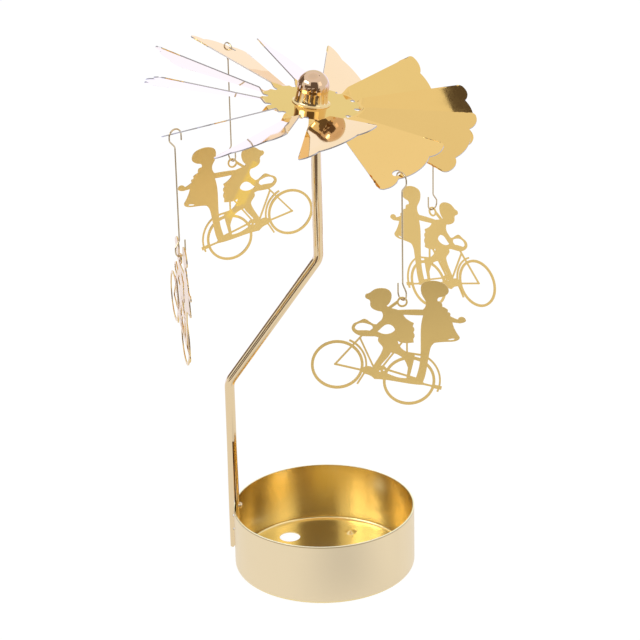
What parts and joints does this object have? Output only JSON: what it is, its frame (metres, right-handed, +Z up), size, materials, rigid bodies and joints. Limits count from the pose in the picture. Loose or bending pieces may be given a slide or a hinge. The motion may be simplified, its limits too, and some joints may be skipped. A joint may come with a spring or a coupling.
{
  "type": "rotary tealight holder",
  "caption": "Gold rotary tealight holder: a tray with a bent support tube, and a wheel of bent blades balanced on a needle that carries hanging figure charms.",
  "frame": {"origin": "centre of the tray's underside, on the surface it stands on", "axes": "+Z up along the needle and the tray's axis; the support tube crosses the tray's rim on the -X side and bends in the XZ plane; -Y is the side the picture shows"},
  "size_m": [0.1204, 0.1134, 0.194],
  "materials": {
    "tray_gold": "satin",
    "rod_gold": "polished",
    "cap_gold": "polished",
    "sheet_gold": "polished",
    "charm_gold": "polished",
    "hook_wire": "polished",
    "needle_steel": "polished",
    "bearing_steel": "polished"
  },
  "bodies": {
    "stand": {"tray": "tray_gold", "support_rod": "rod_gold", "needle_pin": "needle_steel"},
    "rotor": {"wheel": "sheet_gold", "cap": "cap_gold", "bearing_cup": "bearing_steel"},
    "hook_1": {"hook_1": "hook_wire"},
    "charm_1": {"charm_1": "charm_gold"},
    "hook_2": {"hook_2": "hook_wire"},
    "charm_2": {"charm_2": "charm_gold"},
    "hook_3": {"hook_3": "hook_wire"},
    "charm_3": {"charm_3": "charm_gold"},
    "hook_4": {"hook_4": "hook_wire"},
    "charm_4": {"charm_4": "charm_gold"}
  },
  "joints": [
    {"name": "wheel_spin", "type": "hinge", "parent": "stand", "child": "rotor", "pos_m": [0, 0, 0.1845], "axis": [0, 0, 1], "continuous": true},
    {"name": "hook_1_swing", "type": "hinge", "parent": "rotor", "child": "hook_1", "pos_m": [0.02733, -0.04487, 0.16299], "axis": [-0.7926, -0.6097, 0], "range_deg": [-8, 30]},
    {"name": "charm_1_turn", "type": "hinge", "parent": "hook_1", "child": "charm_1", "pos_m": [0.02733, -0.04487, 0.12039], "axis": [0, 0, 1], "range_deg": [-6.4, 81.6]},
    {"name": "hook_2_swing", "type": "hinge", "parent": "rotor", "child": "hook_2", "pos_m": [0.04151, 0.03269, 0.16315], "axis": [0.663, -0.7486, 0], "range_deg": [-8, 30]},
    {"name": "charm_2_turn", "type": "hinge", "parent": "hook_2", "child": "charm_2", "pos_m": [0.04151, 0.03269, 0.12355], "axis": [0, 0, 1], "range_deg": [-46.5, 41.5]},
    {"name": "hook_3_swing", "type": "hinge", "parent": "rotor", "child": "hook_3", "pos_m": [-0.03052, 0.04631, 0.18167], "axis": [0.7927, 0.6096, 0], "range_deg": [-8, 30]},
    {"name": "charm_3_turn", "type": "hinge", "parent": "hook_3", "child": "charm_3", "pos_m": [-0.03052, 0.04631, 0.13907], "axis": [0, 0, 1], "range_deg": [-26.4, 61.6]},
    {"name": "hook_4_swing", "type": "hinge", "parent": "rotor", "child": "hook_4", "pos_m": [-0.04579, -0.03176, 0.17507], "axis": [-0.6714, 0.7411, 0], "range_deg": [-8, 30]},
    {"name": "charm_4_turn", "type": "hinge", "parent": "hook_4", "child": "charm_4", "pos_m": [-0.04579, -0.03176, 0.13247], "axis": [0, 0, 1], "range_deg": [-12.8, 75.2]}
  ]
}
